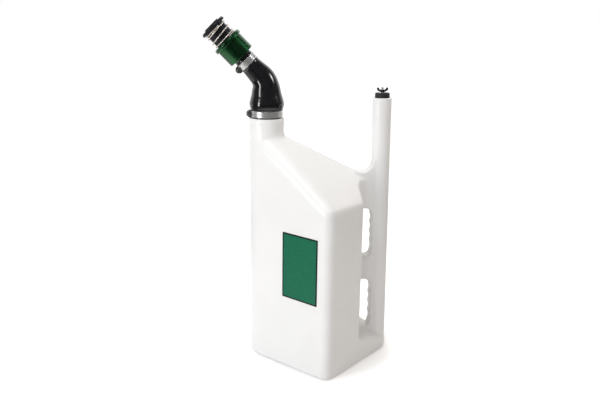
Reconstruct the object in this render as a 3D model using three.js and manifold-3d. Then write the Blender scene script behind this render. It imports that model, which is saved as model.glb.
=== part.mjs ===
// Square quick-fill fuel jug with a slanted spring nozzle and a hollow vent handle.
// Millimetres, +Z up. The origin is the middle of the base, +X runs along the
// footprint's diagonal from the neck to the vent handle.
import * as THREE from 'three';
import { ConvexGeometry } from 'three/addons/geometries/ConvexGeometry.js';
import { mergeVertices } from 'three/addons/utils/BufferGeometryUtils.js';
import Module from 'manifold-3d';

const wasm = await Module();
wasm.setup();

// Clearance that neighbouring pieces keep
const GAP = 0.3;

// Facets around the round pieces that fit in one another
const ROUND_SIDES = 36;

// Points round a wide and a narrow rounded rim, and their angles up its edge
const WIDE_RIM_R = 30;
const WIDE_RIM_POINTS = 32;
const NARROW_RIM_POINTS = 16;
const RIM_LIFTS = [-90, -60, -30, 0, 30, 60, 90];

// Moulded body
const SIDE = 236;
const WALL = 3;
const FOOT_ROUND = 8;
const NECK_CORNER_R = 53.7;
const SIDE_CORNER_R = 18;
const VENT_CORNER_R = 36.6;
const NOTCH_X = 77.3;
const NOTCH_CORNER_R = 10;
const REAR_EDGE_Z = 353.2;
const ROOF_RISE = 0.504;
const NECK_CORNER_TOP_Z = 436;
const SHOULDER_Z = 474;
const SHOULDER_R = 36.5;
const SHOULDER_ROUND = 7;
const RIDGE_START = 60;
const RIDGE_START_Z = 458;
const RIDGE_ROUND = 7;
const ROOF_END_ROUND = 14;

// Neck and hose spigot
const NECK_R = 35.2;
const NECK_STEP = 0.7;
const NECK_PROUD = 1.5;
const NECK_RIM_Z = 509.5;
const NECK_RIM_BAND = 9;
const NECK_BLEND_Z = 482;
const SPIGOT_R = 26.5;
const SPIGOT_BORE_R = 22.8;
const SPIGOT_LENGTH = 36;
const SPIGOT_BEAD = 1.5;

// Vent handle, its web and the two grip windows
const TUBE_R = 19.2;
const TUBE_BORE_R = 15.35;
const TUBE_LENGTH = 550;
const TUBE_LEAN = 0.78;
const WEB_HALF = 15;
const WEB_FILLET = 25;
const WEB_TOP_FILLET = 24;
const WEB_INTO_BODY = 20;
const WEB_END_DROP = 12;
const LEDGE_NOTCH_Z = 58;
const LEDGE_REAR_Z = 26;
const WINDOW_TOP_R = 13;
const WINDOW_CORNER_R = 9;
const UPPER_WINDOW = { low: 213, high: 318.5 };
const LOWER_WINDOW = { low: 49, high: 160 };
const GRIP_PITCH = 21;
const GRIP_DEPTH = 1.1;
const GRIP_INTO_TUBE = 1.4;

// Reducing elbow hose
const HOSE_WALL = 4.2;
const HOSE_LOW_STRAIGHT = 52.6;
const HOSE_BEND_R = 46;
const HOSE_ANGLE = 45;
const HOSE_HIGH_STRAIGHT = 50.6;
const HOSE_BULGE_R = 32.8;
const HOSE_WAIST_R = 27.3;
const HOSE_BULGE_AT = 29;
const HOSE_WAIST_AT = 47;
const HOSE_MID_AT = 86;
const HOSE_MID_R = 22.2;
const HOSE_SLIM_AT = 112;

// Worm-drive clamps
const BAND_WIDTH = 12.5;
const BAND_THICK = 0.8;
const CLAMP_SCREW_R = 3.6;
const CLAMP_HOUSING_LENGTH = 14;
const CLAMP_HOUSING_WIDTH = 14.5;
const CLAMP_HOUSING_WALL = 1.5;
const CLAMP_HEAD_R = 4.4;
const CLAMP_HEAD_LENGTH = 4;
const LOW_CLAMP_FROM_END = 8.3;
const HIGH_CLAMP_FROM_END = 14.5;

// Nozzle collar
const BARB_R = 14.8;
const BARB_BORE_R = 11.6;
const BARB_LENGTH = 26;
const COLLAR_R = 28.5;
const COLLAR_LENGTH = 43;
const COLLAR_CHAMFER = 1.6;
const FLANGE_R = 31.5;
const FLANGE_LENGTH = 8;
const CHAMBER_R = 23.6;
const CHAMBER_FLOOR = 11;
const SPIDER_SEAT_R = 18.8;
const SPIDER_SEAT_DEPTH = 4;
const GLAND_R = 26.2;
const GLAND_LENGTH = 4.7;

// Sliding sleeve, its spring and the fixed valve
const SLEEVE_R = 21.5;
const SLEEVE_BORE_R = 19.2;
const SLEEVE_LIP_LENGTH = 3.7;
const SLEEVE_REACH = 82;
const TIP_RING_R = 27.3;
const TIP_RING_LENGTH = 7;
const MOUTH_R = 17.9;
const MOUTH_LENGTH = 3;
const SPRING_WIRE_R = 1.1;
const SPRING_TURNS = 5;
const VALVE_HEAD_R = 17.1;
const VALVE_HEAD_LENGTH = 7.6;
const VALVE_PROUD = 2.4;
const SEAL_WIRE_R = 0.9;
const STEM_R = 3.5;
const STEM_SHOULDER_R = 5.2;
const SPIDER_HUB_R = 6.5;
const SPIDER_ARM = 4;
const SPIDER_RING = 3;
const STEM_NUT_R = 5.6;
const STEM_NUT_LENGTH = 3.5;

// Expanding vent plug
const PLUG_PROUD = 9.4;
const PLUG_DEPTH = 22;
const STUD_R = 2.3;
const STUD_PROUD = 12;
const PLUG_WASHER_R = 11;
const BOTTOM_WASHER_R = 13.5;
const WASHER_THICK = 1.2;
const STUD_HEAD_R = 4.6;
const STUD_HEAD_LENGTH = 3;
const WING_HUB_R = 4.6;
const WING_HUB_LENGTH = 5;
const WING_SPAN = 23.2;
const WING_RISE = 7;
const WING_THICK = 2.2;

// Front label
const LABEL_FROM_NECK_CORNER = 118;
const LABEL_WIDTH = 88.5;
const LABEL_BOTTOM_Z = 156.5;
const LABEL_HEIGHT = 137;
const LABEL_THICK = 0.4;

// Places worked out from the sizes above
const HALF = SIDE / Math.SQRT2;
const CORNER_SET = Math.SQRT2 - 1;
const NECK_X = -(HALF - CORNER_SET * NECK_CORNER_R) + NECK_R - NECK_PROUD;
const TUBE_X = HALF - CORNER_SET * VENT_CORNER_R - TUBE_R;
const LEAN = THREE.MathUtils.degToRad(TUBE_LEAN);
const BEND = THREE.MathUtils.degToRad(HOSE_ANGLE);

function welded(geometry) {
  const bare = geometry.clone();
  bare.deleteAttribute('normal');
  bare.deleteAttribute('uv');
  const merged = mergeVertices(bare, 1e-4);
  const place = merged.getAttribute('position');
  const kept = [];
  let volume = 0;
  const a = new THREE.Vector3();
  const b = new THREE.Vector3();
  const c = new THREE.Vector3();
  for (let i = 0; i < merged.index.count; i += 3) {
    const corner = [merged.index.getX(i), merged.index.getX(i + 1), merged.index.getX(i + 2)];
    const [p, q, r] = corner;
    if (p === q || q === r || r === p) continue;
    kept.push(...corner);
    a.fromBufferAttribute(place, p);
    b.fromBufferAttribute(place, q);
    c.fromBufferAttribute(place, r);
    volume += a.dot(b.cross(c));
  }
  if (volume < 0) kept.reverse();
  merged.setIndex(kept);
  return merged;
}

function solid(geometry) {
  const shape = welded(geometry);
  const vertProperties = new Float32Array(shape.getAttribute('position').array);
  const triVerts = new Uint32Array(shape.index.array);
  return new wasm.Manifold(new wasm.Mesh({ numProp: 3, vertProperties, triVerts }));
}

function geometryOf(manifold) {
  const mesh = manifold.getMesh();
  const geometry = new THREE.BufferGeometry();
  geometry.setAttribute('position', new THREE.BufferAttribute(mesh.vertProperties, 3));
  geometry.setIndex(new THREE.BufferAttribute(mesh.triVerts, 1));
  return geometry;
}

function joined(solids) {
  return solids.reduce((whole, next) => whole.add(next));
}

// A solid of revolution about Z from a closed list of [radius, height]
function turned(outline, segments = ROUND_SIDES) {
  const closed = outline.map(([radius, height]) => new THREE.Vector2(radius, height));
  if (outline[0][0] > 0) closed.push(closed[0].clone());
  return new THREE.LatheGeometry(closed, segments).rotateX(Math.PI / 2);
}

function ring(inner, outer, low, high, segments) {
  return turned([[inner, low], [outer, low], [outer, high], [inner, high]], segments);
}

function disc(radius, low, high, segments) {
  return turned([[0, low], [radius, low], [radius, high], [0, high]], segments);
}

function extruded(shape, depth, segments = 10) {
  return new THREE.ExtrudeGeometry(shape, { depth, bevelEnabled: false, curveSegments: segments });
}

// Points of a disc with a rounded rim, the building block of the moulded forms
function rimPoints({ x, y, z, radius, round }, skin, turns) {
  const points = [];
  const reach = radius - skin;
  const edge = round - skin;
  for (let i = 0; i < turns; i += 1) {
    const around = (2 * Math.PI * i) / turns;
    for (const lift of RIM_LIFTS) {
      const rise = THREE.MathUtils.degToRad(lift);
      const out = reach - edge + edge * Math.cos(rise);
      points.push(new THREE.Vector3(
        x + out * Math.cos(around),
        y + out * Math.sin(around),
        z + edge * Math.sin(rise),
      ));
    }
  }
  return points;
}

function moulded(knuckles, skin) {
  const points = knuckles.flatMap((knuckle) => {
    const turns = knuckle.radius > WIDE_RIM_R ? WIDE_RIM_POINTS : NARROW_RIM_POINTS;
    return rimPoints(knuckle, skin, turns);
  });
  return solid(new ConvexGeometry(points));
}

function roofZ(x, y) {
  return REAR_EDGE_Z + ROOF_RISE * (HALF - x - Math.abs(y));
}

// Drop from the roof plane to the middle of a ball that touches it from below
function underRoof(radius) {
  return radius * Math.sqrt(1 + 2 * ROOF_RISE * ROOF_RISE);
}

function mirrored(knuckle) {
  return [knuckle, { ...knuckle, y: -knuckle.y }];
}

// Body: a square tank cut square to its diagonal at the handle, under a falling roof
const neckCorner = { x: -(HALF - Math.SQRT2 * NECK_CORNER_R), y: 0, radius: NECK_CORNER_R };
const sideCorner = { x: 0, y: -(HALF - Math.SQRT2 * SIDE_CORNER_R), radius: SIDE_CORNER_R };
const notchCornerX = NOTCH_X - NOTCH_CORNER_R;
const notchCorner = {
  x: notchCornerX,
  y: -(HALF - notchCornerX - Math.SQRT2 * NOTCH_CORNER_R),
  radius: NOTCH_CORNER_R,
};
const ventCorner = { x: HALF - Math.SQRT2 * VENT_CORNER_R, y: 0, radius: VENT_CORNER_R };
const roofEndX = NOTCH_X - ROOF_END_ROUND;
const ridgeSet = (RIDGE_START - RIDGE_ROUND) / Math.SQRT2;

const shoulder = {
  x: NECK_X - NECK_R + NECK_STEP + SHOULDER_R,
  y: 0,
  z: SHOULDER_Z - SHOULDER_ROUND,
  radius: SHOULDER_R,
  round: SHOULDER_ROUND,
};

function tank(skin) {
  const foot = { z: FOOT_ROUND, round: FOOT_ROUND };
  return moulded([
    { ...neckCorner, ...foot },
    ...mirrored({ ...sideCorner, ...foot }),
    ...mirrored({ ...notchCorner, ...foot }),
    { ...neckCorner, z: NECK_CORNER_TOP_Z, round: FOOT_ROUND },
    shoulder,
    ...mirrored({ x: -HALF + ridgeSet + Math.SQRT2 * RIDGE_ROUND, y: -ridgeSet,
      z: RIDGE_START_Z - RIDGE_ROUND, radius: RIDGE_ROUND, round: RIDGE_ROUND }),
    ...mirrored({ ...sideCorner, round: SIDE_CORNER_R,
      z: roofZ(sideCorner.x, sideCorner.y) - underRoof(SIDE_CORNER_R) }),
    ...mirrored({ ...notchCorner, round: NOTCH_CORNER_R,
      z: roofZ(notchCorner.x, notchCorner.y) - underRoof(NOTCH_CORNER_R) }),
    { x: roofEndX, y: 0, z: roofZ(roofEndX, 0) - underRoof(ROOF_END_ROUND),
      radius: ROOF_END_ROUND, round: ROOF_END_ROUND },
  ], skin);
}

function ledge(skin) {
  const foot = { z: FOOT_ROUND, round: FOOT_ROUND };
  return moulded([
    ...mirrored({ ...notchCorner, ...foot }),
    { ...ventCorner, ...foot },
    ...mirrored({ ...notchCorner, z: LEDGE_NOTCH_Z - FOOT_ROUND, round: FOOT_ROUND }),
    { ...ventCorner, z: LEDGE_REAR_Z - FOOT_ROUND, round: FOOT_ROUND },
  ], skin);
}

function tubeLeft(z) {
  return TUBE_X - TUBE_R - z * Math.tan(LEAN);
}

function inTubeFrame(geometry) {
  return geometry.rotateY(-LEAN).translate(TUBE_X, 0, 0);
}

// Plan of the web between body and handle, with a hollow fillet at the body
function webPlan(skin) {
  const half = WEB_HALF - skin;
  const bend = WEB_FILLET + skin;
  const root = NOTCH_X - skin;
  const shape = new THREE.Shape();
  shape.moveTo(root - WEB_INTO_BODY, -(half + bend));
  shape.lineTo(root, -(half + bend));
  shape.absarc(root + bend, -(half + bend), bend, Math.PI, Math.PI / 2, true);
  shape.lineTo(TUBE_X, -half);
  shape.lineTo(TUBE_X, half);
  shape.lineTo(root + bend, half);
  shape.absarc(root + bend, half + bend, bend, -Math.PI / 2, -Math.PI, true);
  shape.lineTo(root - WEB_INTO_BODY, half + bend);
  return shape;
}

// Everything below the roof planes, carried on past the body
function underRoofPlanes(skin) {
  const low = FOOT_ROUND;
  const sink = underRoof(skin);
  const near = NOTCH_X - 2 * WEB_FILLET;
  const reach = WEB_HALF + 2 * WEB_FILLET;
  const points = [near, TUBE_X].flatMap((x) => [-reach, 0, reach].flatMap((y) => [
    new THREE.Vector3(x, y, roofZ(x, y) - sink),
    new THREE.Vector3(x, y, low),
  ]));
  return solid(new ConvexGeometry(points));
}

// Side view of the web, whose top falls with the roof and sweeps up into the handle
function webSide(skin) {
  const rearEnd = tubeLeft(UPPER_WINDOW.high);
  const slope = -Math.atan(ROOF_RISE);
  const bend = WEB_TOP_FILLET + skin;
  const middleX = rearEnd + 1 - WEB_TOP_FILLET;
  const touchX = middleX + WEB_TOP_FILLET * Math.sin(slope);
  const middleZ = roofZ(touchX, 0) + WEB_TOP_FILLET * Math.cos(slope);
  const shape = new THREE.Shape();
  const buried = NOTCH_X - WEB_INTO_BODY;
  shape.moveTo(buried - skin, FOOT_ROUND);
  shape.lineTo(TUBE_X, FOOT_ROUND);
  shape.lineTo(TUBE_X, middleZ);
  shape.lineTo(middleX + bend, middleZ);
  shape.absarc(middleX, middleZ, bend, 0, -Math.PI / 2 + slope, true);
  shape.lineTo(buried - skin, roofZ(buried, 0) - WEB_END_DROP - skin);
  return shape;
}

function web(skin) {
  const top = REAR_EDGE_Z + SIDE;
  const fillets = solid(extruded(webPlan(skin), top, 6)).intersect(underRoofPlanes(skin));
  const half = WEB_HALF - skin;
  const strip = extruded(webSide(skin), 2 * half, 8).rotateX(Math.PI / 2).translate(0, half, 0);
  return fillets.add(solid(strip));
}

// A grip window, scalloped for the fingers along the handle
function gripWindow({ low, high }, grow) {
  const left = NOTCH_X + WALL - grow;
  const bottom = low - grow;
  const top = high + grow;
  const upperR = WINDOW_TOP_R + grow;
  const cornerR = WINDOW_CORNER_R + grow;
  const waves = Math.round((high - low - 2 * WINDOW_TOP_R) / GRIP_PITCH);
  const waveLow = low + WINDOW_CORNER_R;
  const waveHigh = high - WINDOW_TOP_R;
  const rightAt = (z) => {
    const turn = (2 * Math.PI * waves * (z - waveLow)) / (waveHigh - waveLow);
    return tubeLeft(z) + GRIP_INTO_TUBE + grow - GRIP_DEPTH * Math.cos(turn);
  };
  const shape = new THREE.Shape();
  shape.moveTo(left, bottom + cornerR);
  shape.absarc(left + cornerR, bottom + cornerR, cornerR, Math.PI, 1.5 * Math.PI, false);
  shape.absarc(rightAt(waveLow) - cornerR, bottom + cornerR, cornerR, -Math.PI / 2, 0, false);
  const steps = waves * 8;
  for (let i = 1; i <= steps; i += 1) {
    const z = waveLow + ((waveHigh - waveLow) * i) / steps;
    shape.lineTo(rightAt(z), z);
  }
  shape.absarc(rightAt(waveHigh) - upperR, top - upperR, upperR, 0, Math.PI / 2, false);
  shape.absarc(left + cornerR, top - cornerR, cornerR, Math.PI / 2, Math.PI, false);
  const cut = extruded(shape, SIDE, 5).rotateX(Math.PI / 2).translate(0, SIDE / 2, 0);
  return solid(cut);
}

function neckSkin() {
  const stem = NECK_R - NECK_STEP;
  const bandLow = NECK_RIM_Z - NECK_RIM_BAND;
  const spigotTop = NECK_RIM_Z + SPIGOT_LENGTH;
  return turned([
    [0, SHOULDER_Z - 2 * SHOULDER_ROUND],
    [stem, SHOULDER_Z - 2 * SHOULDER_ROUND],
    [stem, bandLow - 1],
    [NECK_R, bandLow],
    [NECK_R, NECK_RIM_Z - 1.5],
    [NECK_R - 1.5, NECK_RIM_Z],
    [SPIGOT_R, NECK_RIM_Z],
    [SPIGOT_R, spigotTop - 14],
    [SPIGOT_R + SPIGOT_BEAD, spigotTop - 10],
    [SPIGOT_R + SPIGOT_BEAD, spigotTop - 7],
    [SPIGOT_R - 1, spigotTop],
    [0, spigotTop],
  ]).translate(NECK_X, 0, 0);
}

function neckBase() {
  const rim = { x: NECK_X, y: 0, z: NECK_BLEND_Z, radius: NECK_R - NECK_STEP, round: 1 };
  return moulded([shoulder, rim], 0);
}

function neckHollow() {
  const stem = NECK_R - NECK_STEP - WALL;
  const spigotTop = NECK_RIM_Z + SPIGOT_LENGTH;
  return turned([
    [0, SHOULDER_Z - 2 * SHOULDER_ROUND],
    [stem, SHOULDER_Z - 2 * SHOULDER_ROUND],
    [stem, NECK_RIM_Z - WALL - 4],
    [stem - 2, NECK_RIM_Z - WALL - 1],
    [SPIGOT_BORE_R, NECK_RIM_Z - WALL + 1],
    [SPIGOT_BORE_R, spigotTop + 1],
    [0, spigotTop + 1],
  ]).translate(NECK_X, 0, 0);
}

function tubeSkin() {
  const low = FOOT_ROUND + WALL;
  return inTubeFrame(turned([
    [0, low],
    [TUBE_R, low],
    [TUBE_R, TUBE_LENGTH - 1],
    [TUBE_R - 1, TUBE_LENGTH],
    [0, TUBE_LENGTH],
  ], 40));
}

function tubeHollow() {
  return inTubeFrame(disc(TUBE_BORE_R, FOOT_ROUND + 2 * WALL, TUBE_LENGTH + 1, 40));
}

function jugBody() {
  const windows = [UPPER_WINDOW, LOWER_WINDOW];
  const skin = joined([tank(0), ledge(0), web(0), solid(tubeSkin()), neckBase(),
    solid(neckSkin())]);
  const walls = joined(windows.map((window) => gripWindow(window, WALL)));
  const hollow = joined([tank(WALL), ledge(WALL), web(WALL)]).subtract(walls);
  const shell = skin
    .subtract(hollow)
    .subtract(solid(tubeHollow()))
    .subtract(solid(neckHollow()));
  const open = windows.map((window) => gripWindow(window, 0));
  return geometryOf(shell.subtract(joined(open)));
}

// Elbow hose: rings swept along a straight, a bend and a second straight
const hoseBendLength = HOSE_BEND_R * BEND;
const hoseLength = HOSE_LOW_STRAIGHT + hoseBendLength + HOSE_HIGH_STRAIGHT;

function hosePlace(along) {
  const low = Math.min(along, HOSE_LOW_STRAIGHT);
  const turn = THREE.MathUtils.clamp((along - HOSE_LOW_STRAIGHT) / HOSE_BEND_R, 0, BEND);
  const high = Math.max(along - HOSE_LOW_STRAIGHT - hoseBendLength, 0);
  const x = NECK_X - HOSE_BEND_R * (1 - Math.cos(turn)) - high * Math.sin(turn);
  const z = NECK_RIM_Z + GAP + low + HOSE_BEND_R * Math.sin(turn) + high * Math.cos(turn);
  return { x, z, turn };
}

const hoseLowR = SPIGOT_R + GAP + HOSE_WALL;
const hoseHighR = BARB_R + GAP + HOSE_WALL;
const hoseStations = [
  [0, hoseLowR],
  [LOW_CLAMP_FROM_END + BAND_WIDTH / 2, hoseLowR],
  [HOSE_BULGE_AT, HOSE_BULGE_R],
  [HOSE_WAIST_AT, HOSE_WAIST_R],
  [HOSE_MID_AT, HOSE_MID_R],
  [HOSE_SLIM_AT, hoseHighR],
  [hoseLength, hoseHighR],
];

function hoseRadius(along) {
  const next = Math.max(1, hoseStations.findIndex(([place]) => along <= place + 1e-6));
  const [from, fromR] = hoseStations[next - 1];
  const [to, toR] = hoseStations[next];
  return THREE.MathUtils.lerp(fromR, toR, THREE.MathUtils.smoothstep(along, from, to));
}

function elbowHose() {
  const rings = 16;
  const around = ROUND_SIDES;
  const positions = [];
  const faces = [];
  const addRing = (along, radius) => {
    const { x, z, turn } = hosePlace(along);
    for (let i = 0; i < around; i += 1) {
      const angle = (2 * Math.PI * i) / around;
      const out = radius * Math.cos(angle);
      positions.push(x + out * Math.cos(turn), radius * Math.sin(angle), z + out * Math.sin(turn));
    }
  };
  const count = rings + 1;
  for (let i = 0; i < count; i += 1) {
    const along = (hoseLength * i) / rings;
    addRing(along, hoseRadius(along));
  }
  for (let i = count - 1; i >= 0; i -= 1) {
    const along = (hoseLength * i) / rings;
    addRing(along, hoseRadius(along) - HOSE_WALL);
  }
  const loops = 2 * count;
  for (let loop = 0; loop < loops; loop += 1) {
    for (let i = 0; i < around; i += 1) {
      const j = (i + 1) % around;
      const a = loop * around;
      const b = ((loop + 1) % loops) * around;
      faces.push(a + i, a + j, b + j, a + i, b + j, b + i);
    }
  }
  const geometry = new THREE.BufferGeometry();
  geometry.setAttribute('position', new THREE.Float32BufferAttribute(positions, 3));
  geometry.setIndex(faces);
  return welded(geometry);
}

// Clamp pieces in the clamp's own frame: axis along Z, screw housing at -X
function clampBand(hoseR) {
  const inner = hoseR + GAP;
  return ring(inner, inner + BAND_THICK, -BAND_WIDTH / 2, BAND_WIDTH / 2, 40);
}

function screwX(hoseR) {
  return -(hoseR + GAP + BAND_THICK + GAP + CLAMP_SCREW_R);
}

function clampHousing(hoseR) {
  const x = screwX(hoseR);
  const bore = CLAMP_SCREW_R + GAP;
  const outer = bore + CLAMP_HOUSING_WALL;
  const half = CLAMP_HOUSING_WIDTH / 2;
  const shape = new THREE.Shape();
  shape.moveTo(x + CLAMP_SCREW_R, -half);
  shape.lineTo(x + CLAMP_SCREW_R, half);
  shape.lineTo(x, half);
  shape.lineTo(x - outer + 1.5, outer - 1);
  shape.absarc(x, 0, outer, 0.75 * Math.PI, 1.25 * Math.PI, false);
  shape.lineTo(x - outer + 1.5, -(outer - 1));
  shape.lineTo(x, -half);
  const block = extruded(shape, CLAMP_HOUSING_LENGTH, 6)
    .rotateX(Math.PI / 2)
    .translate(0, CLAMP_HOUSING_LENGTH / 2, 0);
  const hole = disc(bore, -CLAMP_HOUSING_LENGTH, CLAMP_HOUSING_LENGTH, 24)
    .rotateX(Math.PI / 2)
    .translate(x, 0, 0);
  const bed = disc(hoseR + BAND_THICK + 2 * GAP, -SIDE, SIDE, 40);
  return geometryOf(solid(block).subtract(solid(hole)).subtract(solid(bed)));
}

function clampScrew(hoseR) {
  const front = CLAMP_HOUSING_LENGTH / 2 + GAP;
  const thread = disc(CLAMP_SCREW_R, -front - CLAMP_HEAD_LENGTH, front + 1.5, 20);
  const collar = disc(CLAMP_HEAD_R + 0.2, -front - 1.2, -front, 24);
  const head = disc(CLAMP_HEAD_R, -front - 1 - CLAMP_HEAD_LENGTH, -front - 1, 6);
  const slot = new THREE.BoxGeometry(2 * CLAMP_HEAD_R + 2, 1.2, 2)
    .translate(0, 0, -front - 1 - CLAMP_HEAD_LENGTH);
  const screw = joined([solid(thread), solid(collar), solid(head)]).subtract(solid(slot));
  return geometryOf(screw).rotateX(-Math.PI / 2).translate(screwX(hoseR), 0, 0);
}

// Nozzle pieces in the nozzle's own frame: Z along its axis from the hose's upper end
const flangeLow = COLLAR_LENGTH + GAP - FLANGE_LENGTH;
const collarTop = COLLAR_LENGTH + GAP;
const glandSeat = collarTop - GLAND_LENGTH - GAP;
const lipTop = glandSeat;
const ringLow = SLEEVE_REACH - TIP_RING_LENGTH;
const headTop = SLEEVE_REACH + VALVE_PROUD;
const headLow = headTop - VALVE_HEAD_LENGTH;
const spiderLow = CHAMBER_FLOOR - SPIDER_SEAT_DEPTH;

function nozzleCollar() {
  const barbs = [];
  const pitch = BARB_LENGTH / 4;
  for (let i = 0; i < 4; i += 1) {
    barbs.push([BARB_R - 0.8, -BARB_LENGTH + i * pitch]);
    barbs.push([BARB_R, -BARB_LENGTH + (i + 0.8) * pitch]);
  }
  return turned([
    ...barbs,
    [BARB_R - 0.8, 0],
    [BARB_R - 0.8, GAP],
    [COLLAR_R - COLLAR_CHAMFER, GAP],
    [COLLAR_R, GAP + COLLAR_CHAMFER],
    [COLLAR_R, flangeLow - 1.6],
    [COLLAR_R - 0.9, flangeLow - 1.2],
    [COLLAR_R - 0.9, flangeLow],
    [FLANGE_R - 0.8, flangeLow],
    [FLANGE_R, flangeLow + 0.8],
    [FLANGE_R, collarTop - 2.4],
    [FLANGE_R - 0.7, collarTop - 2],
    [FLANGE_R - 0.7, collarTop - 0.8],
    [FLANGE_R - 1.5, collarTop],
    [GLAND_R + GAP, collarTop],
    [GLAND_R + GAP, glandSeat],
    [CHAMBER_R, glandSeat],
    [CHAMBER_R, CHAMBER_FLOOR],
    [SPIDER_SEAT_R, CHAMBER_FLOOR],
    [SPIDER_SEAT_R, spiderLow],
    [SPIDER_SEAT_R - SPIDER_RING, spiderLow],
    [BARB_BORE_R, 1],
    [BARB_BORE_R, -BARB_LENGTH],
  ]);
}

function glandRing() {
  const bore = SLEEVE_R + GAP;
  const low = glandSeat + GAP;
  const grooveR = bore + 2 * SEAL_WIRE_R;
  const middle = (low + collarTop) / 2;
  return turned([
    [bore, low],
    [GLAND_R, low],
    [GLAND_R, collarTop],
    [bore, collarTop],
    [bore, middle + SEAL_WIRE_R + GAP],
    [grooveR, middle + SEAL_WIRE_R + GAP],
    [grooveR, middle - SEAL_WIRE_R - GAP],
    [bore, middle - SEAL_WIRE_R - GAP],
  ]);
}

function oRing(innerR, middle) {
  const outline = [];
  for (let i = 0; i < 6; i += 1) {
    const turn = (2 * Math.PI * i) / 6;
    outline.push([
      innerR + SEAL_WIRE_R - SEAL_WIRE_R * Math.cos(turn),
      middle - SEAL_WIRE_R * Math.sin(turn),
    ]);
  }
  return turned(outline);
}

function glandSeal() {
  return oRing(SLEEVE_R + 0.15, (glandSeat + GAP + collarTop) / 2);
}

function slideSleeve() {
  const lipLow = lipTop - SLEEVE_LIP_LENGTH;
  return turned([
    [SLEEVE_BORE_R, lipLow],
    [CHAMBER_R - GAP, lipLow],
    [CHAMBER_R - GAP, lipTop],
    [SLEEVE_R, lipTop],
    [SLEEVE_R, SLEEVE_REACH - 0.8],
    [SLEEVE_R - 0.8, SLEEVE_REACH],
    [MOUTH_R, SLEEVE_REACH],
    [MOUTH_R, SLEEVE_REACH - MOUTH_LENGTH],
    [SLEEVE_BORE_R, SLEEVE_REACH - MOUTH_LENGTH - 1.5],
  ]);
}

function tipRing() {
  const bore = SLEEVE_R + GAP;
  return turned([
    [bore, ringLow],
    [TIP_RING_R - 1.2, ringLow],
    [TIP_RING_R, ringLow + 1.2],
    [TIP_RING_R, SLEEVE_REACH - 2.5],
    [TIP_RING_R - 2.5, SLEEVE_REACH],
    [bore, SLEEVE_REACH],
  ]);
}

// Return spring with closed ends, a wire swept along its helix
function returnSpring() {
  const low = collarTop + GAP + SPRING_WIRE_R;
  const high = ringLow - GAP - SPRING_WIRE_R;
  const radius = (SLEEVE_R + GLAND_R) / 2;
  const closed = 2 * SPRING_WIRE_R + 0.15;
  const open = (high - low - 2 * closed) / (SPRING_TURNS - 2);
  const path = new THREE.Curve();
  path.getPoint = (share) => {
    const turns = share * SPRING_TURNS;
    const rising = THREE.MathUtils.clamp(turns - 1, 0, SPRING_TURNS - 2);
    const flat = turns - rising;
    const angle = 2 * Math.PI * turns;
    return new THREE.Vector3(
      radius * Math.cos(angle),
      radius * Math.sin(angle),
      low + closed * flat + open * rising,
    );
  };
  const section = new THREE.Shape();
  section.absarc(0, 0, SPRING_WIRE_R, 0, 2 * Math.PI);
  return new THREE.ExtrudeGeometry(section, {
    steps: SPRING_TURNS * 16,
    curveSegments: 3,
    extrudePath: path,
  });
}

function valveHead() {
  const grooveR = VALVE_HEAD_R - 2 * SEAL_WIRE_R - GAP;
  const middle = SLEEVE_REACH - MOUTH_LENGTH / 2;
  const half = SEAL_WIRE_R + GAP / 2;
  return turned([
    [0, headLow],
    [VALVE_HEAD_R - 3, headLow],
    [VALVE_HEAD_R, headLow + 1.2],
    [VALVE_HEAD_R, middle - half],
    [grooveR, middle - half],
    [grooveR, middle + half],
    [VALVE_HEAD_R, middle + half],
    [VALVE_HEAD_R, headTop - 0.8],
    [VALVE_HEAD_R - 0.8, headTop],
    [VALVE_HEAD_R - 4, headTop],
    [VALVE_HEAD_R - 4.6, headTop - 1.2],
    [0, headTop - 1.2],
  ]);
}

function valveSeal() {
  const inner = VALVE_HEAD_R - 2 * SEAL_WIRE_R - GAP / 2;
  return oRing(inner, SLEEVE_REACH - MOUTH_LENGTH / 2);
}

function valveStem() {
  return turned([
    [0, spiderLow - STEM_NUT_LENGTH - 2],
    [STEM_R, spiderLow - STEM_NUT_LENGTH - 2],
    [STEM_R, CHAMBER_FLOOR],
    [STEM_SHOULDER_R, CHAMBER_FLOOR],
    [STEM_SHOULDER_R, CHAMBER_FLOOR + 3],
    [STEM_R, CHAMBER_FLOOR + 4],
    [STEM_R, headLow - GAP],
    [0, headLow - GAP],
  ], 24);
}

function stemSpider() {
  const low = spiderLow + GAP;
  const high = CHAMBER_FLOOR - GAP;
  const rim = solid(ring(SPIDER_SEAT_R - SPIDER_RING, SPIDER_SEAT_R - GAP, low, high));
  const arms = [];
  for (let i = 0; i < 3; i += 1) {
    const arm = new THREE.BoxGeometry(SPIDER_SEAT_R - 2, SPIDER_ARM, high - low)
      .translate((SPIDER_SEAT_R - 2) / 2, 0, (low + high) / 2)
      .rotateZ((2 * Math.PI * i) / 3);
    arms.push(solid(arm));
  }
  const hub = solid(disc(SPIDER_HUB_R, low, high, 24));
  const bore = solid(disc(STEM_R + GAP, low - 1, high + 1, 24));
  return geometryOf(joined([rim, hub, ...arms]).subtract(bore));
}

function stemNut() {
  const high = spiderLow;
  const low = high - STEM_NUT_LENGTH;
  const nut = solid(disc(STEM_NUT_R, low, high, 6));
  return geometryOf(nut.subtract(solid(disc(STEM_R + GAP, low - 1, high + 1, 24))));
}

// Vent plug pieces in the handle tube's own frame
const plugTop = TUBE_LENGTH + PLUG_PROUD;
const plugLow = TUBE_LENGTH - PLUG_DEPTH;
const plugR = TUBE_BORE_R - GAP;
const washerTop = plugTop + GAP + WASHER_THICK;
const bottomWasherLow = plugLow - GAP - WASHER_THICK;

function ventPlug() {
  const bore = STUD_R + GAP;
  return turned([
    [bore, plugLow],
    [plugR - 1, plugLow],
    [plugR, plugLow + 1],
    [plugR, plugTop - 0.8],
    [plugR - 0.8, plugTop],
    [bore, plugTop],
  ], 40);
}

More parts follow.
